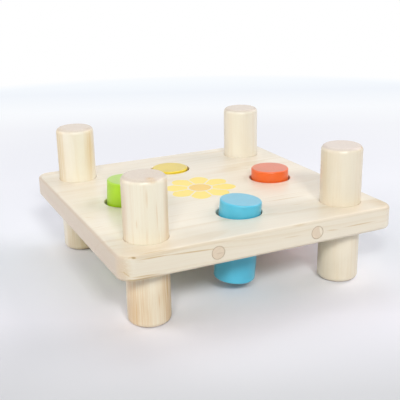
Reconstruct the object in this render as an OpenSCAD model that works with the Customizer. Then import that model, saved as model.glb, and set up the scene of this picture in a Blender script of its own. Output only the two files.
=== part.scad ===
// A child's peg pounding bench. A square board of four glued staves stands on four round legs
// that pass through it, and four painted pegs slide up and down in its holes.
// The legs reach as far above the board as below it, so the bench also works turned over.
// Its frame has +X to the right, +Y to the back and +Z up, from the floor below the board's centre.

/* [Board] */
// Width of the board, left to right
board_w = 245; // [200:1:320]
// Depth of the board, front to back
board_d = 245; // [200:1:320]
// Thickness of the board
board_t = 20; // [16:0.5:40]
// Radius of the board's four corners, seen from above
corner_r = 12; // [6:0.5:30]
// Rounding of the board's upper and lower edges
edge_r = 3; // [1:0.25:4]

/* [Legs] */
// Diameter of the round legs
leg_d = 35; // [25:0.5:45]
// How far the legs stand out of the board, above it and below it
leg_reach = 50; // [35:1:80]
// From the middle of a leg to the board's side and front or back edge
leg_inset = 33; // [26:0.5:40]
// Rounding of the legs' ends
leg_end_r = 4.5; // [1:0.25:10]
// Glue gap round a leg in its hole
leg_glue_gap = 0.1; // [0.05:0.01:0.3]
// Bevel on the rims of the leg holes
leg_rim = 0.3; // [0.2:0.1:1]

/* [Pegs] */
// Diameter of the painted pegs
peg_d = 35; // [28:0.5:38]
// From the middle of the board to the middle of each peg hole
peg_offset = 72.5; // [66:0.5:80]
// Gap between a peg and the wall of its hole
peg_play = 1.7; // [1.2:0.1:2.5]
// Rounding of the pegs' ends
peg_end_r = 1.5; // [0.5:0.25:4]
// What is left under a peg that has been pounded flush
peg_floor_gap = 0.6; // [0.3:0.1:2]
// Bevel on the rims of the peg holes
peg_rim = 0.6; // [0.3:0.1:1]
// How far the yellow peg at the back stands out of the board
yellow_rise = 1.7; // [0.5:0.1:45]
// How far the red peg on the right stands out of the board
red_rise = 9.7; // [0.5:0.1:45]
// How far the blue peg at the front stands out of the board
blue_rise = 10.7; // [0.5:0.1:45]
// How far the green peg on the left stands out of the board
green_rise = 19.5; // [0.5:0.1:45]
// Lean of the blue peg in its loose hole, in degrees
blue_lean = 5; // [0:0.5:5]
// Lean of the green peg in its loose hole, in degrees
green_lean = 3; // [0:0.5:5]
// Side that both lean to, in degrees from +X towards +Y
lean_bearing = -25; // [-180:5:180]

/* [Grip rings] */
// Thickness of the rubber ring that grips a peg
ring_cord_d = 3.3; // [2.5:0.1:4]
// Gap between an unsqueezed ring and its peg
ring_peg_gap = 0.4; // [0.35:0.05:0.6]
// Gap between a ring and the floor and sides of its groove
ring_seat_gap = 0.1; // [0.05:0.05:0.3]

/* [Cross dowels] */
// Diameter of the dowels that tie the staves together
dowel_d = 11; // [8:0.5:12]
// Glue gap round a dowel in its hole
dowel_glue_gap = 0.1; // [0.05:0.01:0.2]
// Bevel on the dowels' ends
dowel_bevel = 0.3; // [0.1:0.1:1]
// Wood left between a dowel's hole and the groove of a grip ring
dowel_wall = 1.1; // [0.5:0.1:5]

/* [Hidden] */
$fn = 96;

// One overrun for every cut
overrun = 1;

// Heights
board_z = leg_reach;
board_mid_z = board_z + board_t / 2;
leg_len = board_t + 2 * leg_reach;
peg_len = board_t + leg_reach - peg_floor_gap;

// Places in plan
stave_count = 4;
stave_d = board_d / stave_count;
leg_x = board_w / 2 - leg_inset;
leg_y = board_d / 2 - leg_inset;
yellow_place = [0, peg_offset];
red_place = [peg_offset, 0];
blue_place = [0, -peg_offset];
green_place = [-peg_offset, 0];

// Fits, from the peg outwards: ring, groove, cross dowel
hole_r = peg_d / 2 + peg_play;
ring_mid_r = peg_d / 2 + ring_peg_gap + ring_cord_d / 2;
groove_r = ring_mid_r + ring_cord_d / 2 + ring_seat_gap;
groove_w = ring_cord_d + 2 * ring_seat_gap;
dowel_hole_d = dowel_d + 2 * dowel_glue_gap;
dowel_x = peg_offset - groove_r - dowel_wall - dowel_hole_d / 2;

// Colours of the lacquered wood, of end grain, of the paints and of rubber
wood = [0.92, 0.87, 0.77];
leg_wood = [0.90, 0.84, 0.71];
dowel_wood = [0.85, 0.74, 0.63];
yellow_paint = [0.94, 0.82, 0.27];
red_paint = [0.96, 0.38, 0.18];
blue_paint = [0.37, 0.75, 0.87];
green_paint = [0.68, 0.85, 0.27];
rubber = [0.16, 0.15, 0.14];

// A board's cross-section: span wide and the board's thickness high, with four rounded edges.
module board_section(span) {
    translate([-span / 2, edge_r])
        square([span, board_t - 2 * edge_r]);
    translate([edge_r - span / 2, 0])
        square([span - 2 * edge_r, board_t]);
    for (side = [-1, 1])
        for (level = [edge_r, board_t - edge_r])
            translate([side * (span / 2 - edge_r), level])
                circle(r = edge_r);
}

// One corner of the board: a disc with rounded rims.
module board_corner() {
    rotate_extrude()
        intersection() {
            board_section(2 * corner_r);
            square([corner_r, board_t]);
        }
}

// The whole board before it is drilled: two crossing bars with rounded long edges, and a disc in
// each corner that carries the rounding on from one bar to the other.
module board_blank() {
    translate([0, 0, board_z]) {
        rotate([90, 0, 0])
            linear_extrude(height = board_d - 2 * corner_r, center = true)
                board_section(board_w);
        rotate([90, 0, 90])
            linear_extrude(height = board_w - 2 * corner_r, center = true)
                board_section(board_d);
        for (x = [-1, 1])
            for (y = [-1, 1])
                translate([x * (board_w / 2 - corner_r), y * (board_d / 2 - corner_r), 0])
                    board_corner();
    }
}

// A hole straight through the board, with a bevelled rim above and below.
module board_hole(r, rim) {
    translate([0, 0, board_z - overrun])
        cylinder(r = r, h = board_t + 2 * overrun);
    for (up = [0, 1])
        translate([0, 0, board_mid_z])
            mirror([0, 0, up])
                translate([0, 0, board_t / 2 - rim])
                    cylinder(r1 = r, r2 = r + rim + overrun, h = rim + overrun);
}

// The groove half-way down a peg hole that keeps the grip ring in place.
module ring_groove() {
    translate([0, 0, board_mid_z - groove_w / 2])
        cylinder(r = groove_r, h = groove_w);
}

// Everything that is drilled and turned out of the glued board.
module board_cuts() {
    for (x = [-leg_x, leg_x])
        for (y = [-leg_y, leg_y])
            translate([x, y, 0])
                board_hole(leg_d / 2 + leg_glue_gap, leg_rim);
    for (place = [yellow_place, red_place, blue_place, green_place])
        translate(place) {
            board_hole(hole_r, peg_rim);
            ring_groove();
        }
    for (x = [-dowel_x, dowel_x])
        translate([x, 0, board_mid_z])
            rotate([90, 0, 0])
                cylinder(d = dowel_hole_d, h = board_d + 2 * overrun, center = true);
}

// One stave of the board, counted from the front. The glue lines run from left to right, as the
// grain does, and the outer staves reach past the board so that the cut falls on its edge.
module board_stave(index) {
    front = index == 0 ? -board_d / 2 - overrun : -board_d / 2 + index * stave_d;
    back = index == stave_count - 1 ? board_d / 2 + overrun : -board_d / 2 + (index + 1) * stave_d;
    color(wood)
        intersection() {
            difference() {
                board_blank();
                board_cuts();
            }
            translate([-board_w / 2 - overrun, front, board_z - overrun])
                cube([board_w + 2 * overrun, back - front, board_t + 2 * overrun]);
        }
}

// A length of round rod with rounded ends, standing on the plane below it.
module rounded_rod(d, length, end_r) {
    rotate_extrude() {
        square([d / 2 - end_r, length]);
        translate([0, end_r])
            square([d / 2, length - 2 * end_r]);
        for (level = [end_r, length - end_r])
            translate([d / 2 - end_r, level])
                circle(r = end_r);
    }
}

// A leg: one rod from the floor, through the board, to the top.
module leg(x, y) {
    color(leg_wood)
        translate([x * leg_x, y * leg_y, 0])
            rounded_rod(leg_d, leg_len, leg_end_r);
}

// A dowel across the grain of all the staves, flush with the board's front and back edges.
module cross_dowel(side) {
    color(dowel_wood)
        translate([side * dowel_x, -board_d / 2, board_mid_z])
            rotate([-90, 0, 0]) {
                cylinder(d1 = dowel_d - 2 * dowel_bevel, d2 = dowel_d, h = dowel_bevel);
                translate([0, 0, dowel_bevel])
                    cylinder(d = dowel_d, h = board_d - 2 * dowel_bevel);
                translate([0, 0, board_d - dowel_bevel])
                    cylinder(d1 = dowel_d, d2 = dowel_d - 2 * dowel_bevel, h = dowel_bevel);
            }
}

// The rubber ring in the groove of a peg hole.
module grip_ring(place) {
    color(rubber)
        translate([place[0], place[1], board_mid_z])
            rotate_extrude()
                translate([ring_mid_r, 0])
                    circle(d = ring_cord_d);
}

// A painted peg that stands out of its hole by rise, and leans about the middle of its grip ring.
module peg(place, paint, rise, lean) {
    color(paint)
        translate([place[0], place[1], board_mid_z])
            rotate([0, lean, lean_bearing])
                translate([0, 0, board_t / 2 + rise - peg_len])
                    rounded_rod(peg_d, peg_len, peg_end_r);
}

board_stave(0);  // board_stave_front
board_stave(1);  // board_stave_mid_front
board_stave(2);  // board_stave_mid_back
board_stave(3);  // board_stave_back
cross_dowel(-1);  // cross_dowel_left
cross_dowel(1);  // cross_dowel_right
leg(-1, -1);  // leg_front_left
leg(1, -1);  // leg_front_right
leg(-1, 1);  // leg_back_left
leg(1, 1);  // leg_back_right
grip_ring(yellow_place);  // grip_ring_yellow
grip_ring(red_place);  // grip_ring_red
grip_ring(blue_place);  // grip_ring_blue
grip_ring(green_place);  // grip_ring_green
peg(yellow_place, yellow_paint, yellow_rise, 0);  // peg_yellow
peg(red_place, red_paint, red_rise, 0);  // peg_red
peg(blue_place, blue_paint, blue_rise, blue_lean);  // peg_blue
peg(green_place, green_paint, green_rise, green_lean);  // peg_green
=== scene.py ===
# A child's peg pounding bench in pale lacquered wood, with four painted pegs.
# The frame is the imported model's: metres, +X to the right, +Y to the back and +Z up, from the
# floor below the board's centre.
import math

import bmesh
import bpy
from mathutils import Matrix, Vector


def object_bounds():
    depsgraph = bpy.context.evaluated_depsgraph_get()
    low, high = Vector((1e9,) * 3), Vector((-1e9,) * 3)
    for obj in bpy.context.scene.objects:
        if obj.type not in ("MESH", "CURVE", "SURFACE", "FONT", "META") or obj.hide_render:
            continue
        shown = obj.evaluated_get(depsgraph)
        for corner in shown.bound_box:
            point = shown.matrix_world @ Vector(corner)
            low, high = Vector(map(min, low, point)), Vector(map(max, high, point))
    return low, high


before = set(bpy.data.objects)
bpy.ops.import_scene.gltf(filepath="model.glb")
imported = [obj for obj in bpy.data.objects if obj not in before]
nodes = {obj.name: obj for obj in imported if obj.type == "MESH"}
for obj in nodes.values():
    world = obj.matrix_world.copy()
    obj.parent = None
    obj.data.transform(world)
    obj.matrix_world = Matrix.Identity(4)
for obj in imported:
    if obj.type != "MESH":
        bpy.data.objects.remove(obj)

packed_box = [list(corner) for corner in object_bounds()]


# Camera: stands to the front left of the bench, 16 cm above the tops of the legs, and looks down
# on the board. The lens is a short portrait lens on a 36 mm sensor.
CAMERA_PLACE = Vector((-0.2767, -0.5853, 0.2765))
CAMERA_YAW = math.radians(25.189)
CAMERA_PITCH = math.radians(18.603)
CAMERA_ROLL = math.radians(-1.128)
LENS_MM = 66.82
SENSOR_MM = 36
camera = bpy.data.objects.new("camera", bpy.data.cameras.new("camera"))
camera.data.lens = LENS_MM
camera.data.sensor_width = SENSOR_MM
camera.data.clip_start = 0.01
camera.data.clip_end = 100
camera.matrix_world = (
    Matrix.Translation(CAMERA_PLACE)
    @ Matrix.Rotation(-CAMERA_YAW, 4, "Z")
    @ Matrix.Rotation(math.pi / 2 - CAMERA_PITCH, 4, "X")
    @ Matrix.Rotation(CAMERA_ROLL, 4, "Z")
)
bpy.context.scene.collection.objects.link(camera)
bpy.context.scene.camera = camera


# Board staves: four lengths of kiln-dried rubberwood, edge-glued with the grain from left to
# right, planed to 20 mm, routed round the edge, bored, sanded and sprayed with a satin clear
# lacquer. The lacquer keeps the cream colour and lets the rings show as faint straw lines.
MM = 0.001

# Sizes of the wood's figure in millimetres, along the grain and across it
WANDER_MM = (130, 38, 38)
WANDER_REACH_MM = 3.2
PATCH_MM = (55, 60, 60)
FIBRE_MM = (42, 1.1, 1.1)
BAND_MM = (210, 13, 13)
PORE_MM = (7, 0.4, 0.4)

KNOT_HEART = "#A08658"
EDGE_TONE_AND_SHADE = "#EDE8E2"


def linear(code):
    """The linear colour of an sRGB hex code."""
    parts = [int(code[i:i + 2], 16) / 255 for i in (1, 3, 5)]
    rgb = [p / 12.92 if p <= 0.04045 else ((p + 0.055) / 1.055) ** 2.4 for p in parts]
    return (*rgb, 1.0)


def add(material, kind, feeds, **settings):
    """Adds a shader node. Each feed is a socket's name or number with a value, a node or an
    output."""
    node = material.node_tree.nodes.new("ShaderNode" + kind)
    for name, value in settings.items():
        setattr(node, name, value)
    for socket, source in feeds.items():
        if isinstance(source, bpy.types.Node):
            source = source.outputs[0]
        if isinstance(source, bpy.types.NodeSocket):
            material.node_tree.links.new(source, node.inputs[socket])
        else:
            node.inputs[socket].default_value = source
    return node


def fresh_material(name):
    """A material with no nodes yet."""
    material = bpy.data.materials.new(name)
    material.use_nodes = True
    material.node_tree.nodes.clear()
    return material


def figure(material, grain, size_mm, seed, detail, roughness=0.5):
    """A cloudy figure that runs with the grain. size_mm is how long, wide and deep a cloud is."""
    stretched = add(material, "VectorMath", {0: grain, 1: [1 / mm for mm in size_mm]},
                    operation="MULTIPLY")
    return add(material, "TexNoise", {
        "Vector": stretched,
        "W": seed,
        "Scale": 1.0,
        "Detail": detail,
        "Roughness": roughness,
    }, noise_dimensions="4D")


def reach_from(material, place, spot, turn, half):
    """How far out a point lies in the patch round a spot: 0 in its middle and 1 at its rim. spot
    and the patch's half lengths are in millimetres, and its turn is in degrees."""
    patch = add(material, "Mapping", {
        "Vector": place.outputs["Object"],
        "Location": [v * MM for v in spot],
        "Rotation": [math.radians(v) for v in turn],
        "Scale": [v * MM for v in half],
    }, vector_type="TEXTURE")
    return add(material, "VectorMath", {0: patch}, operation="LENGTH").outputs["Value"]


def sawn_wood(material, pale, straw, end, pith, lean, along, ring_mm, ring_depth, bold, streaks_and_shade,
              edge_shade_depth, seed):
    """Solid wood that was cut out of a tree, so that rings, fibres and pores run through the piece
    and meet at its edges. pale and straw are the colours of early and late wood, and end is that
    of end grain. pith is a point of the tree's middle line in millimetres, lean turns that line
    from X in radians, and along is the way the piece's length runs. ring_mm is a year's growth,
    and ring_depth is how dark its late wood gets. bold gives one dark ring: its radius and width
    in millimetres and its depth. streaks_and_shade are single dark streaks in the wood, and on
    some pieces painted shade where a surface turns from the light: middle in millimetres, turn in
    degrees, half lengths in millimetres, and depth, which is over 1 in a knot. edge_shade_depth is
    how much the rounded edges are darker than the faces, partly slanted grain and partly painted
    shade. Returns the colour, the roughness and the height of the surface."""
    place = add(material, "TexCoord", {})
    grain = add(material, "Mapping", {
        "Vector": place.outputs["Object"],
        "Location": [v * MM for v in pith],
        "Rotation": lean,
        "Scale": (MM, MM, MM),
    }, vector_type="TEXTURE")

    # Rings wander by a few millimetres over the length of a stave.
    wander = figure(material, grain, WANDER_MM, seed, detail=3.0)
    wander = add(material, "MapRange", {
        "Value": wander,
        "From Min": 0.2,
        "From Max": 0.8,
        "To Min": -WANDER_REACH_MM,
        "To Max": WANDER_REACH_MM,
    }, clamp=False)
    across = add(material, "VectorMath", {0: grain, 1: (0, 1, 1)}, operation="MULTIPLY")
    radius = add(material, "VectorMath", {0: across}, operation="LENGTH")
    radius = add(material, "Math", {0: radius.outputs["Value"], 1: wander}, operation="ADD")

    # In each ring the wood darkens slowly towards the late wood, then starts pale again. Some
    # years are darker than others.
    years = add(material, "Math", {0: radius, 1: ring_mm}, operation="DIVIDE")
    year = add(material, "Math", {0: years}, operation="FLOOR")
    season = add(material, "Math", {0: years}, operation="FRACT")
    darkening = add(material, "MapRange", {"Value": season, "From Min": 0.55, "From Max": 0.94},
                    interpolation_type="SMOOTHSTEP")
    spring = add(material, "MapRange", {"Value": season, "From Min": 0.94, "From Max": 1.0,
                                        "To Min": 1.0, "To Max": 0.0})
    late = add(material, "Math", {0: darkening, 1: spring}, operation="MULTIPLY")
    year = add(material, "Math", {0: year, 1: seed * 7.31}, operation="ADD")
    dry_year = add(material, "TexWhiteNoise", {"W": year}, noise_dimensions="1D")
    dry_year = add(material, "Math", {0: dry_year.outputs["Value"], 1: 2.2}, operation="POWER")
    late = add(material, "Math", {0: late, 1: dry_year}, operation="MULTIPLY")
    late = add(material, "Math", {0: late, 1: ring_depth}, operation="MULTIPLY")

    # One ring stands out as a dark line that fades in and out along the piece.
    bold_radius, bold_width, bold_depth = bold
    off_bold = add(material, "Math", {0: radius, 1: bold_radius}, operation="SUBTRACT")
    off_bold = add(material, "Math", {0: off_bold}, operation="ABSOLUTE")
    bold_line = add(material, "MapRange", {"Value": off_bold, "From Min": 0.0,
                                           "From Max": bold_width, "To Min": bold_depth,
                                           "To Max": 0.0}, interpolation_type="SMOOTHSTEP")
    patch = figure(material, grain, PATCH_MM, seed + 3, detail=1.0)
    fading = add(material, "MapRange", {"Value": patch, "From Min": 0.38, "From Max": 0.6})
    bold_line = add(material, "Math", {0: bold_line, 1: fading}, operation="MULTIPLY")
    late = add(material, "Math", {0: late, 1: bold_line}, operation="ADD")

    # Fibres lie in bundles about 1 mm across, within broader bands of tone.
    fibre = figure(material, grain, FIBRE_MM, seed, detail=4.0, roughness=0.6)
    band = figure(material, grain, BAND_MM, seed + 1, detail=2.0)

    # Pores are open vessels that the cut shows as dashes. Real ones are 0.2 mm wide, and these
    # are drawn 0.4 mm wide so that they still show.
    pore = figure(material, grain, PORE_MM, seed + 2, detail=1.0)
    pore = add(material, "MapRange", {"Value": pore, "From Min": 0.62, "From Max": 0.74})

    # Streaks of darker wood, and on some pieces painted shade, broken up by the fibres
    dark = late
    for spot, turn, half, depth in streaks_and_shade:
        streak = reach_from(material, place, spot, turn, half)
        streak = add(material, "MapRange", {"Value": streak, "From Min": 0.15, "From Max": 1.0,
                                            "To Min": depth, "To Max": 0.0},
                     interpolation_type="SMOOTHSTEP")
        broken = add(material, "MapRange", {"Value": fibre, "From Min": 0.35, "From Max": 0.55,
                                            "To Min": 0.45, "To Max": 1.0})
        streak = add(material, "Math", {0: streak, 1: broken}, operation="MULTIPLY")
        dark = add(material, "Math", {0: dark, 1: streak}, operation="ADD")

    # The tone adds the rings, the streaks, the bands, the fibres and the pores. Over 1 it is a
    # knot's dark heart.
    band_tone = add(material, "MapRange", {"Value": band, "From Min": 0.3, "From Max": 0.7,
                                           "To Min": -0.02, "To Max": 0.15}, clamp=False)
    fibre_tone = add(material, "MapRange", {"Value": fibre, "From Min": 0.3, "From Max": 0.7,
                                            "To Min": -0.05, "To Max": 0.07}, clamp=False)
    tone = add(material, "Math", {0: band_tone, 1: fibre_tone}, operation="ADD")
    tone = add(material, "Math", {0: pore, 1: 0.09, 2: tone}, operation="MULTIPLY_ADD")
    tone = add(material, "Math", {0: tone, 1: dark}, operation="ADD")
    colour = add(material, "Mix", {0: tone, 6: linear(pale), 7: linear(straw)}, data_type="RGBA")
    heart = add(material, "MapRange", {"Value": tone, "From Min": 1.0, "From Max": 2.0})
    colour = add(material, "Mix", {0: heart, 6: colour.outputs[2], 7: linear(KNOT_HEART)},
                 data_type="RGBA")

    # End grain drinks more lacquer and turns browner, with a speckle of cut vessels.
    faces = add(material, "VectorMath", {0: place.outputs["Normal"], 1: along},
                operation="DOT_PRODUCT")
    faces = add(material, "Math", {0: faces.outputs["Value"]}, operation="ABSOLUTE")
    end_grain = add(material, "MapRange", {"Value": faces, "From Min": 0.45, "From Max": 0.8},
                    interpolation_type="SMOOTHSTEP")
    end_tone = add(material, "Math", {0: end_grain, 1: 0.8}, operation="MULTIPLY")
    mottle = add(material, "MapRange", {"Value": fibre, "From Min": 0.25, "From Max": 0.75,
                                        "To Min": 0.65, "To Max": 1.1})
    end_tone = add(material, "Math", {0: end_tone, 1: mottle}, operation="MULTIPLY")
    clear = add(material, "MapRange", {"Value": dark, "From Min": 0.3, "From Max": 1.0,
                                       "To Min": 1.0, "To Max": 0.25})
    end_tone = add(material, "Math", {0: end_tone, 1: clear}, operation="MULTIPLY")
    colour = add(material, "Mix", {0: end_tone, 6: colour.outputs[2], 7: linear(end)},
                 data_type="RGBA")

    # Rounded edges are darker: partly the fibres cut at a slant, which drink more lacquer, and
    # partly painted shade that tones down the light the rounded edges catch.
    slant = add(material, "SeparateXYZ", {"Vector": place.outputs["Normal"]})
    slant = add(material, "Math", {0: slant.outputs["Z"]}, operation="ABSOLUTE")
    rising = add(material, "MapRange", {"Value": slant, "From Min": 0.05, "From Max": 0.4,
                                        "To Max": edge_shade_depth}, interpolation_type="SMOOTHSTEP")
    slant = add(material, "MapRange", {"Value": slant, "From Min": 0.8, "From Max": 0.99,
                                       "To Min": 1.0, "To Max": 0.0},
                interpolation_type="SMOOTHSTEP")
    slant = add(material, "Math", {0: slant, 1: rising}, operation="MULTIPLY")
    colour = add(material, "Mix", {0: slant, 6: colour.outputs[2], 7: linear(EDGE_TONE_AND_SHADE)},
                 data_type="RGBA", blend_type="MULTIPLY")

    # The lacquer is duller on end grain, and sinks into the pores.
    roughness = add(material, "MapRange", {"Value": fibre, "From Min": 0.3, "From Max": 0.7,
                                           "To Min": 0.36, "To Max": 0.46})
    roughness = add(material, "Math", {0: end_grain, 1: 0.25, 2: roughness},
                    operation="MULTIPLY_ADD")
    height = add(material, "Math", {0: pore, 1: -0.6, 2: fibre}, operation="MULTIPLY_ADD")
    return colour.outputs[2], roughness, height


def satin_lacquer(material, colour, roughness, height):
    """Clear satin lacquer over wood: a dielectric sheen that follows the fibres faintly."""
    relief = add(material, "Bump", {"Height": height, "Strength": 0.18, "Distance": 0.3 * MM})
    shader = add(material, "BsdfPrincipled", {
        "Base Color": colour,
        "Roughness": roughness,
        "IOR": 1.5,
        "Normal": relief,
        "Coat Weight": 0.5,
        "Coat Roughness": 0.25,
    })
    add(material, "OutputMaterial", {"Surface": shader})


STAVE_PALE = "#EDE4D1"
STAVE_STRAW = "#D3B98C"
STAVE_END = "#D8C6AF"
STAVES = {
    "board_stave_front": dict(
        pith=(0, -108, 16), lean=(0, 0.03, 0),
        ring_mm=6.5, ring_depth=0.26, bold=(47, 0.8, 0.15), seed=4.0,
        streaks_and_shade=[
            # on the upper face
            ((50, -62.7, 70), (0, 0, -2.1), (28, 0.9, 2), 0.8),
            ((52, -80.5, 70), (0, 0, -6), (9, 1.3, 2), 0.35),
            ((-118, -95.5, 70), (0, 0, -4), (8, 1.2, 3), 0.3),
            ((-96, -115, 69), (0, 0, 2), (26, 8, 6), 0.17),
            ((74, -112, 69), (0, 0, 0), (36, 10, 6), 0.13),
            # the front right corner is darkened: painted shade that tones down the light it
            # catches
            ((119, -112, 69), (0, 0, 0), (18, 18, 8), 0.5),
            # a small knot at the left end of the front edge, and the grain lines that leave it
            ((-112, -121.7, 69.0), (0, 12, 0), (2.6, 1.8, 1.0), 1.75),
            ((-115.6, -121.4, 69.3), (0, 0, 0), (3.6, 1.6, 0.9), 0.9),
            ((-95, -120.2, 69.6), (0, 0, 0), (23, 0.9, 1.2), 0.9),
            ((-92, -121.6, 68.4), (0, 0, 0), (30, 2.5, 1.8), 0.32),
            ((-98, -122.5, 66.7), (0, 1, 0), (17, 2, 0.9), 1.0),
            ((-64, -122.5, 64.8), (0, 3.6, 0), (38, 2, 0.85), 0.9),
            ((-107, -122.5, 65.2), (0, 9, 0), (6, 2, 0.7), 0.5),
            # along the front face, and round its left corner, which is darkened partly as painted
            # shade where it turns from the light
            ((-119.5, -117.5, 60), (0, 0, 0), (9, 9, 15), 0.6),
            ((-104, -122.5, 53.6), (0, 3, 0), (16, 2, 0.8), 0.9),
            ((-118.8, -121.5, 57.8), (0, 42, 0), (6.5, 5, 0.9), 0.9),
            ((-106, -121.6, 51.2), (0, 1, 0), (26, 5, 2.2), 1.0),
            ((59, -122.5, 59.5), (0, 6, 0), (8, 2, 0.8), 0.6),
            ((86, -122.5, 59.7), (0, 0, 0), (22, 2, 0.85), 0.8),
            ((27, -121.8, 69.1), (0, 0, 0), (9, 2, 1.0), 0.5),
            ((21, -122.5, 60.8), (0, 2, 0), (12, 2, 0.8), 0.45),
        ]),
    "board_stave_mid_front": dict(
        pith=(0, -21, 31), lean=(0, 0.004, 0.010),
        ring_mm=5.0, ring_depth=0.22, bold=(52, 0.9, 0.3), seed=8.0,
        streaks_and_shade=[
            # on the upper face, at the left end
            ((-115, -27, 70), (0, 0, -45), (7, 1.4, 3), 0.28),
            ((-117, -52.5, 70), (0, 0, 5), (9, 1.3, 3), 0.3),
        ]),
    "board_stave_mid_back": dict(
        pith=(0, 47, 115), lean=(0, 0.006, -0.012),
        ring_mm=5.6, ring_depth=0.13, bold=(46, 1.0, 0.3), seed=15.0,
        streaks_and_shade=[
            # on the upper face, at the left end and right of the middle
            ((-97, 6, 70), (0, 0, 14), (8, 1.3, 3), 0.25),
            ((56, 46, 70), (0, 0, -20), (15, 0.8, 2), 0.3),
            ((67, 36, 70), (0, 0, 0), (2.6, 0.9, 1), 0.6),
        ]),
    "board_stave_back": dict(
        pith=(0, 121, 22), lean=(0, -0.005, 0.008),
        ring_mm=4.6, ring_depth=0.2, bold=(49, 0.9, 0.3), seed=23.0,
        streaks_and_shade=[]),
}
stave_wood = {}
for name, cut in STAVES.items():
    wood = fresh_material("lacquered_rubberwood_" + name.replace("board_", ""))
    surface = sawn_wood(wood, STAVE_PALE, STAVE_STRAW, STAVE_END, along=(1, 0, 0), edge_shade_depth=0.75,
                        **cut)
    stave_wood[name] = (wood, surface)
    nodes[name].material_slots[0].material = wood


# Print: a rosette of eight petals in pale-yellow ink, pad-printed on the two middle staves under
# the lacquer. The ink is thin, so the fibres show through it.
PRINT_MIDDLE_MM = (0.0, 2.5, 70.0)
PRINT_YELLOW = "#FBDE52"
PRINT_CORE = "#F0C442"
PETAL_COUNT = 8
PETAL_TIP_MM = 33.0
PETAL_NOTCH_MM = 25.0
CORE_MM = 11.0
INK_COVER = 0.93
for name, (wood, (colour, roughness, height)) in stave_wood.items():
    if "_mid_" in name:
        place = add(wood, "TexCoord", {})
        print_place = add(wood, "Mapping", {
            "Vector": place.outputs["Object"],
            "Location": [v * MM for v in PRINT_MIDDLE_MM],
            "Scale": (MM, MM, MM),
        }, vector_type="TEXTURE")
        part = add(wood, "SeparateXYZ", {"Vector": print_place})
        flat = add(wood, "VectorMath", {0: print_place, 1: (1, 1, 0)}, operation="MULTIPLY")
        reach = add(wood, "VectorMath", {0: flat}, operation="LENGTH").outputs["Value"]
        turn = add(wood, "Math", {0: part.outputs["Y"], 1: part.outputs["X"]}, operation="ARCTAN2")
        lobes = add(wood, "Math", {0: turn, 1: PETAL_COUNT / 2}, operation="MULTIPLY")
        lobes = add(wood, "Math", {0: lobes}, operation="SINE")
        lobes = add(wood, "Math", {0: lobes}, operation="ABSOLUTE")

        # The petals have round tips, with notches between them.
        edge = add(wood, "Math", {0: lobes, 1: PETAL_TIP_MM - PETAL_NOTCH_MM, 2: PETAL_NOTCH_MM},
                   operation="MULTIPLY_ADD")
        inside = add(wood, "Math", {0: edge, 1: reach}, operation="SUBTRACT")
        inside = add(wood, "MapRange", {"Value": inside, "From Min": -0.12, "From Max": 0.12})

        # Bare wood is left between the petals, and as a ring round the core.
        gap = add(wood, "Math", {0: lobes, 1: reach}, operation="MULTIPLY")
        gap = add(wood, "MapRange", {"Value": gap, "From Min": 2.2, "From Max": 3.0})
        ring = add(wood, "Math", {0: reach, 1: CORE_MM}, operation="SUBTRACT")
        petals = add(wood, "MapRange", {"Value": ring, "From Min": 0.6, "From Max": 0.85})
        petals = add(wood, "Math", {0: petals, 1: gap}, operation="MULTIPLY")
        core = add(wood, "MapRange", {"Value": ring, "From Min": -0.85, "From Max": -0.6,
                                      "To Min": 1.0, "To Max": 0.0})
        ink = add(wood, "Math", {0: petals, 1: core}, operation="MAXIMUM")
        ink = add(wood, "Math", {0: ink, 1: inside}, operation="MULTIPLY")

        # Ink lies on the upper face alone.
        top = add(wood, "MapRange", {"Value": part.outputs["Z"], "From Min": -0.06,
                                     "From Max": -0.03})
        ink = add(wood, "Math", {0: ink, 1: top}, operation="MULTIPLY")
        ink = add(wood, "Math", {0: ink, 1: INK_COVER}, operation="MULTIPLY")
        core = add(wood, "Mix", {0: core, 6: linear(PRINT_YELLOW), 7: linear(PRINT_CORE)},
                   data_type="RGBA")
        printed = add(wood, "Mix", {0: ink, 6: colour, 7: core.outputs[2]}, data_type="RGBA")
        colour = printed.outputs[2]
    satin_lacquer(wood, colour, roughness, height)


# Cross dowels: two 11 mm rubberwood dowels glued across the four staves and sanded flush. Their
# end grain has drunk the lacquer and is a pinkish tan, with the glue as a fine dark rim. A ray of
# the wood crosses each end as a stripe.
DOWEL_PALE = "#E8D9C3"
DOWEL_STRAW = "#CEB396"
DOWEL_END = "#DDCAB1"
GLUE_RIM = "#A98C6B"

# In millimetres: the board's front face and its middle height, the dowels' radius, how far the
# tree's middle line lies to the right of a dowel's and below it, and how deep a ray goes
FRONT_FACE = packed_box[0][1] / MM
MID_HEIGHT = packed_box[1][2] / 2 / MM
DOWEL_RADIUS = 5.5
PITH_ASIDE = 9
PITH_BELOW = 8
RAY_DEEP = 2

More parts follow.
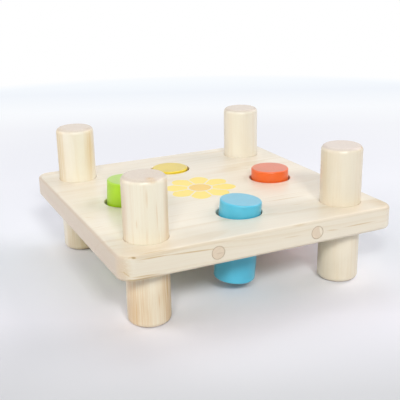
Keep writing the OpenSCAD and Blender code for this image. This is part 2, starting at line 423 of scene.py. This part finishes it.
# Each dowel's x, and its ray: place from the dowel's middle, turn, half lengths, tone and depth
DOWELS = {
    "cross_dowel_left": dict(
        x=-44.5, ray=(1.2, -0.6), ray_turn=2.0, ray_half=(4.0, 0.6), ray_tone="#C8B094",
        ray_depth=0.5, seed=25.55),
    "cross_dowel_right": dict(
        x=44.5, ray=(3.6, 0.6), ray_turn=73.0, ray_half=(6.2, 1.7), ray_tone="#EFE4CF",
        ray_depth=0.85, seed=34.45),
}
for name, cut in DOWELS.items():
    wood = fresh_material("lacquered_end_grain_" + name.replace("cross_", ""))
    colour, roughness, height = sawn_wood(
        wood, DOWEL_PALE, DOWEL_STRAW, DOWEL_END,
        pith=(cut["x"] + PITH_ASIDE, 0, MID_HEIGHT - PITH_BELOW), lean=(0, 0, math.pi / 2),
        along=(0, 1, 0), ring_mm=2.6, ring_depth=0.5, bold=(9.0, 0.5, 0.4), streaks_and_shade=[],
        edge_shade_depth=0.0, seed=cut["seed"])
    place = add(wood, "TexCoord", {})

    # The ray
    ray_x, ray_z = cut["ray"]
    ray_long, ray_wide = cut["ray_half"]
    ray = reach_from(wood, place, (cut["x"] + ray_x, FRONT_FACE, MID_HEIGHT + ray_z),
                     (0, cut["ray_turn"], 0), (ray_long, RAY_DEEP, ray_wide))
    ray = add(wood, "MapRange", {"Value": ray, "From Min": 0.5, "From Max": 1.0,
                                 "To Min": cut["ray_depth"], "To Max": 0.0},
              interpolation_type="SMOOTHSTEP")
    colour = add(wood, "Mix", {0: ray, 6: colour, 7: linear(cut["ray_tone"])}, data_type="RGBA")

    # The glue darkens the last millimetre towards the rim.
    rim = add(wood, "Mapping", {
        "Vector": place.outputs["Object"],
        "Location": (cut["x"] * MM, 0, MID_HEIGHT * MM),
        "Scale": (MM, MM, MM),
    }, vector_type="TEXTURE")
    rim = add(wood, "VectorMath", {0: rim, 1: (1, 0, 1)}, operation="MULTIPLY")
    rim = add(wood, "VectorMath", {0: rim}, operation="LENGTH")
    rim = add(wood, "MapRange", {"Value": rim.outputs["Value"], "From Min": DOWEL_RADIUS - 0.8,
                                 "From Max": DOWEL_RADIUS - 0.2, "To Max": 0.55},
              interpolation_type="SMOOTHSTEP")
    colour = add(wood, "Mix", {0: rim, 6: colour.outputs[2], 7: linear(GLUE_RIM)},
                 data_type="RGBA")
    satin_lacquer(wood, colour.outputs[2], roughness, height)
    nodes[name].material_slots[0].material = wood


# Legs: four 35 mm rubberwood rods with turned ends, glued into through holes so that the bench
# stands either way up. The grain runs up the leg, and its ends show the rings. Each rod was cut
# from another plank, so each has its own tone.
LEGS = {
    "leg_front_left": dict(
        pale="#F1EAD5", straw="#D8B27B", end="#CFBFB1",
        pith=(-98.5, -73.5, 60), lean=(0, -math.pi / 2, 0.03),
        ring_mm=3.4, ring_depth=0.15, bold=(21.0, 0.9, 0.0), seed=41.0,
        streaks_and_shade=[
            # grain lines above the board, and a dark patch on the rim of the top end
            ((-94.2, -106.3, 106), (0, 0, 0), (1.3, 1.5, 11), 0.3),
            ((-89.5, -102.5, 118.8), (0, 0, 0), (6.5, 6.4, 4.4), 0.95),
            ((-95.2, -106.1, 76), (0, 2, 0), (0.9, 1.5, 9), 0.2),
            ((-86.8, -106.8, 92), (0, -1, 0), (0.7, 1.5, 15), 0.4),
            ((-85.6, -106.6, 75), (0, 1, 0), (0.6, 1.5, 7), 0.25),
            ((-101.4, -102.4, 86), (0, 0, 0), (0.7, 1.5, 5), 0.3),
            # broad darker tones down both sides, and on the front of the foot: partly the wood's
            # straw tone, partly painted shade on the sides that turn from the light and under the
            # board
            ((-75.0, -101.0, 92), (0, 0, 0), (8, 8, 45), 0.55),
            ((-107.5, -87.0, 92), (0, 0, 0), (9, 11, 50), 0.6),
            ((-107.0, -97.0, 14), (0, 0, 0), (24, 20, 60), 0.68),
            ((-78.0, -102.0, 24), (0, 0, 0), (15, 15, 75), 0.75),
            ((-91.0, -106.0, 14), (0, 0, 0), (20, 12, 46), 0.15),
            # grain lines below the board
            ((-99.0, -104.3, 43), (0, 0, 0), (0.9, 2, 9), 0.4),
            ((-87.8, -107.0, 24), (0, 0, 0), (0.6, 2, 9), 0.45),
            ((-79.8, -104.2, 34), (0, 0, 0), (1.1, 2, 13), 0.5),
            ((-97.0, -106.0, 14), (0, 0, 0), (0.8, 2, 12), 0.2),
        ]),
    "leg_front_right": dict(
        pale="#EBE1CB", straw="#D3B57F", end="#D6C8C0",
        pith=(130, -62, 60), lean=(0, -math.pi / 2, -0.02),
        ring_mm=4.2, ring_depth=0.25, bold=(40.0, 0.9, 0.35), seed=47.0,
        streaks_and_shade=[
            # the left side above the board, darker partly as painted shade where it turns from the
            # light, a patch on the rim of the top end, and the foot
            ((69.5, -90.5, 95), (0, 0, 0), (6, 7, 44), 0.35),
            ((99.5, -101.5, 118.5), (0, 0, 0), (3.0, 3.0, 1.8), 0.9),
            ((84.0, -107.5, 8), (0, 0, 0), (16, 12, 26), 0.14),
        ]),
    "leg_back_left": dict(
        pale="#F6EFDD", straw="#E0C690", end="#D3C3B5",
        pith=(-50, 130, 60), lean=(0, -math.pi / 2, 0.02),
        ring_mm=4.6, ring_depth=0.14, bold=(55.0, 1.1, 0.12), seed=52.0,
        streaks_and_shade=[
            # broad darker tones down both sides, and on the foot: partly the wood's straw tone,
            # partly painted shade on the sides that turn from the light and under the board
            ((-78.0, 76.0, 104), (0, 0, 0), (7, 9, 34), 0.4),
            ((-107.0, 89.0, 96), (0, 0, 0), (11, 15, 60), 0.85),
            ((-82.0, 74.0, 95), (0, 0, 0), (7, 8, 45), 0.4),
            ((-88.0, 80.0, 12), (0, 0, 0), (30, 30, 40), 0.75),
        ]),
    "leg_back_right": dict(
        pale="#F0EAD8", straw="#D3B57F", end="#D3C3B5",
        pith=(140, 150, 60), lean=(0, -math.pi / 2, 0.01),
        ring_mm=5.0, ring_depth=0.2, bold=(70.0, 1.0, 0.3), seed=58.0,
        streaks_and_shade=[]),
}
for name, cut in LEGS.items():
    wood = fresh_material("lacquered_rubberwood_rod_" + name.replace("leg_", ""))
    colour, roughness, height = sawn_wood(wood, along=(0, 0, 1), edge_shade_depth=0.15, **cut)
    satin_lacquer(wood, colour, roughness, height)
    nodes[name].material_slots[0].material = wood


# Grip rings: moulded rubber cords in the grooves of the peg holes, matt and dark with a faint
# bloom. Only their upper sides can be seen, through the gap round a peg.
RUBBER_DARK = "#4A443D"
RUBBER_BLOOM = "#5E564C"
RUBBER_SKIN_MM = 1.111
rubber = fresh_material("moulded_rubber")
place = add(rubber, "TexCoord", {})
skin = add(rubber, "TexNoise", {"Vector": place.outputs["Object"],
                                "Scale": 1 / (RUBBER_SKIN_MM * MM), "Detail": 3.0})
bloom = add(rubber, "Mix", {0: skin, 6: linear(RUBBER_DARK), 7: linear(RUBBER_BLOOM)},
            data_type="RGBA")
relief = add(rubber, "Bump", {"Height": skin, "Strength": 0.25, "Distance": 0.1 * MM})
shader = add(rubber, "BsdfPrincipled", {
    "Base Color": bloom.outputs[2],
    "Roughness": 0.72,
    "IOR": 1.52,
    "Normal": relief,
})
add(rubber, "OutputMaterial", {"Surface": shader})
for peg in ("yellow", "red", "blue", "green"):
    nodes["grip_ring_" + peg].material_slots[0].material = rubber


# Pegs: 35 mm rubberwood rods with eased ends, dipped in water-based paint and rolled dry. The
# satin film hides the colour of the wood but sinks a little over its fibres. On the ends the paint
# is a shade darker and mixed with a pale tone, which is partly the pale wood under thin paint on
# the end grain and partly a painted sheen of the light the ends catch.
PALE_END_TONE = "#EFE8DF"
END_SHEEN_AND_WOOD = 0.13
PAINTED_FIBRE_MM = (1.111, 1.111, 35.71)
PAINT_CLOUD_MM = 16.67

# Each peg's paint, and how much darker it is on the ends
PEGS = {
    "peg_yellow": ("#EDD01F", 0.10),
    "peg_red": ("#F26719", 0.24),
    "peg_blue": ("#52BEDC", 0.10),
    "peg_green": ("#ABD91C", 0.12),
}
for name, (paint, end_darkening) in PEGS.items():
    film = fresh_material("satin_paint_" + name.replace("peg_", ""))
    place = add(film, "TexCoord", {})
    grain = add(film, "VectorMath", {0: place.outputs["Object"],
                                     1: [1 / (mm * MM) for mm in PAINTED_FIBRE_MM]},
                operation="MULTIPLY")
    grain = add(film, "TexNoise", {"Vector": grain, "Scale": 1.0, "Detail": 3.0})
    cloud = add(film, "TexNoise", {"Vector": place.outputs["Object"],
                                   "Scale": 1 / (PAINT_CLOUD_MM * MM), "Detail": 2.0})
    cloud = add(film, "MapRange", {"Value": cloud, "From Min": 0.3, "From Max": 0.7,
                                   "To Min": 0.95, "To Max": 1.05})

    # The ends are the faces that look up or down.
    facing = add(film, "SeparateXYZ", {"Vector": place.outputs["Normal"]})
    facing = add(film, "Math", {0: facing.outputs["Z"]}, operation="ABSOLUTE")
    end_grain = add(film, "MapRange", {"Value": facing, "From Min": 0.8, "From Max": 0.98},
                    interpolation_type="SMOOTHSTEP")
    cloud = add(film, "Math", {0: end_grain, 1: -end_darkening, 2: cloud}, operation="MULTIPLY_ADD")
    tint = add(film, "HueSaturation", {"Color": linear(paint), "Value": cloud})
    # Painted sheen: the ends are mixed with a pale tone for the light they catch, partly also the
    # pale wood that shows through thin paint on the end grain.
    thin = add(film, "Math", {0: end_grain, 1: END_SHEEN_AND_WOOD}, operation="MULTIPLY")
    tint = add(film, "Mix", {0: thin, 6: tint, 7: linear(PALE_END_TONE)}, data_type="RGBA")

    roughness = add(film, "MapRange", {"Value": grain, "From Min": 0.3, "From Max": 0.7,
                                       "To Min": 0.36, "To Max": 0.46})
    relief = add(film, "Bump", {"Height": grain, "Strength": 0.12, "Distance": 0.2 * MM})
    shader = add(film, "BsdfPrincipled", {
        "Base Color": tint.outputs[2],
        "Roughness": roughness,
        "IOR": 1.5,
        "Normal": relief,
        "Coat Weight": 0.3,
        "Coat Roughness": 0.3,
    })
    add(film, "OutputMaterial", {"Surface": shader})
    nodes[name].material_slots[0].material = film


# Floor: a pale painted table top that fades into a white backdrop behind the bench. It is plain,
# takes the bench's shadow, and lies a tenth of a millimetre below the feet.
TABLE_RADIUS = 8.0
TABLE_DROP = 0.0001
floor_shape = bmesh.new()
bmesh.ops.create_circle(floor_shape, cap_ends=True, radius=TABLE_RADIUS, segments=96)
bmesh.ops.translate(floor_shape, verts=floor_shape.verts, vec=(0, 0, -TABLE_DROP))
floor = bpy.data.objects.new("floor", bpy.data.meshes.new("floor"))
floor_shape.to_mesh(floor.data)
floor_shape.free()
bpy.context.scene.collection.objects.link(floor)


def seen_directly(material):
    """1 where a surface is seen, directly, in a sheen or through glass, and 0 where it lights
    other surfaces."""
    path = add(material, "LightPath", {})
    seen = add(material, "Math", {0: path.outputs["Is Camera Ray"],
                                  1: path.outputs["Is Glossy Ray"]}, operation="MAXIMUM")
    return add(material, "Math", {0: seen, 1: path.outputs["Is Transmission Ray"]},
               operation="MAXIMUM")


# The table is a cool grey in front and paler towards the back: painted shade where the light
# falls off towards the front, with a pinker tone just in front of the bench that tints its
# shadow. A faint blue-grey band lies where the backdrop starts. Each tone has its distance
# behind the bench's middle in metres, the way the camera looks.
BACKWARDS = (math.sin(CAMERA_YAW), math.cos(CAMERA_YAW), 0)
TONES_NEAR = -0.40
TONES_FAR = 1.40
TABLE_TONES = (
    (-0.40, "#CFD0D0"),
    (-0.23, "#D5D6D7"),
    (-0.12, "#F4F3F8"),
    (0.0, "#F3F5F9"),
    (0.25, "#FAFBFE"),
    (0.55, "#F6F7FB"),
    (0.70, "#F9FBFE"),
    (0.87, "#F2F6FC"),
    (0.99, "#F7FBFF"),
    (1.17, "#FFFFFF"),
)
ground = fresh_material("pale_painted_table")
place = add(ground, "TexCoord", {})
away = add(ground, "VectorMath", {0: place.outputs["Object"]}, operation="LENGTH").outputs["Value"]
back = add(ground, "VectorMath", {0: place.outputs["Object"], 1: BACKWARDS},
           operation="DOT_PRODUCT").outputs["Value"]

# Beyond ROUND_FROM metres from the bench the backdrop closes in on every side, up to white.
ROUND_FROM = 0.7
ROUND_RISE = 3.0
round_about = add(ground, "Math", {0: away, 1: ROUND_RISE, 2: -ROUND_RISE * ROUND_FROM},
                  operation="MULTIPLY_ADD")
depth = add(ground, "Math", {0: back, 1: round_about}, operation="MAXIMUM")
depth = add(ground, "MapRange", {"Value": depth, "From Min": TONES_NEAR, "From Max": TONES_FAR})
tones = add(ground, "ValToRGB", {"Fac": depth})
stops = tones.color_ramp.elements
stops.remove(stops[0])
for metres, tone in TABLE_TONES:
    stop = stops.new((metres - TONES_NEAR) / (TONES_FAR - TONES_NEAR))
    stop.color = linear(tone)
stops.remove(stops[-1])
paint = add(ground, "BsdfDiffuse", {"Color": tones})

# The far table is seen as bright as its colour is written.
far = add(ground, "MapRange", {"Value": away, "From Min": 0.28, "From Max": 0.75},
          interpolation_type="SMOOTHSTEP")
far = add(ground, "Math", {0: far, 1: seen_directly(ground)}, operation="MULTIPLY")
backdrop = add(ground, "Emission", {"Color": tones, "Strength": 1.0})
surface = add(ground, "MixShader", {0: far, 1: paint, 2: backdrop})
add(ground, "OutputMaterial", {"Surface": surface})
floor.data.materials.append(ground)


# Light: a white room. Two soft boxes behind the camera and above it, one a little to each side,
# are the main light: they put the board's shadow on the legs, the pegs and the table below, and
# the sheen on the legs' rims. Three broad panels fill in from the left, the right and the back.
ROOM_LIGHT = "#F4F8FF"
ROOM_STRENGTH = 0.03
world = bpy.data.worlds.new("white_room")
world.use_nodes = True
world.node_tree.nodes.clear()
fill = add(world, "Background", {"Color": linear(ROOM_LIGHT), "Strength": ROOM_STRENGTH})
white = add(world, "Background", {"Color": linear("#FFFFFF"), "Strength": 1.0})
sky = add(world, "MixShader", {0: seen_directly(world), 1: fill, 2: white})
add(world, "OutputWorld", {"Surface": sky})
bpy.context.scene.world = world

# Every lamp points at the middle of the board. Places and sizes are in metres, power in watts.
LAMP_AIM = Vector((0, 0, MID_HEIGHT * MM))
LAMPS = {
    "right_soft_box": dict(
        place=(-0.40, -2.03, 1.46), size=(0.5, 0.35), power=26.2, colour="#FDFEFD"),
    "left_soft_box": dict(
        place=(-1.13, -1.73, 1.46), size=(0.4, 0.35), power=16.5, colour="#FDFEFD"),
    "left_panel": dict(
        place=(-2.06, 0.84, 1.40), size=(1.8, 1.4), power=28.4, colour="#F8F1F5"),
    "right_panel": dict(
        place=(2.03, -0.04, 1.68), size=(1.8, 1.4), power=32.0, colour="#F8F1F5"),
    "back_panel": dict(
        place=(0.55, 1.18, 2.31), size=(1.8, 1.4), power=15.6, colour="#E8F6FF"),
}
for name, lamp in LAMPS.items():
    light = bpy.data.lights.new(name, "AREA")
    light.shape = "RECTANGLE"
    light.size, light.size_y = lamp["size"]
    light.energy = lamp["power"]
    light.color = linear(lamp["colour"])[:3]
    holder = bpy.data.objects.new(name, light)
    holder.location = lamp["place"]
    holder.rotation_euler = (LAMP_AIM - holder.location).to_track_quat("-Z", "Y").to_euler()
    bpy.context.scene.collection.objects.link(holder)

bpy.context.scene.view_settings.view_transform = "Standard"
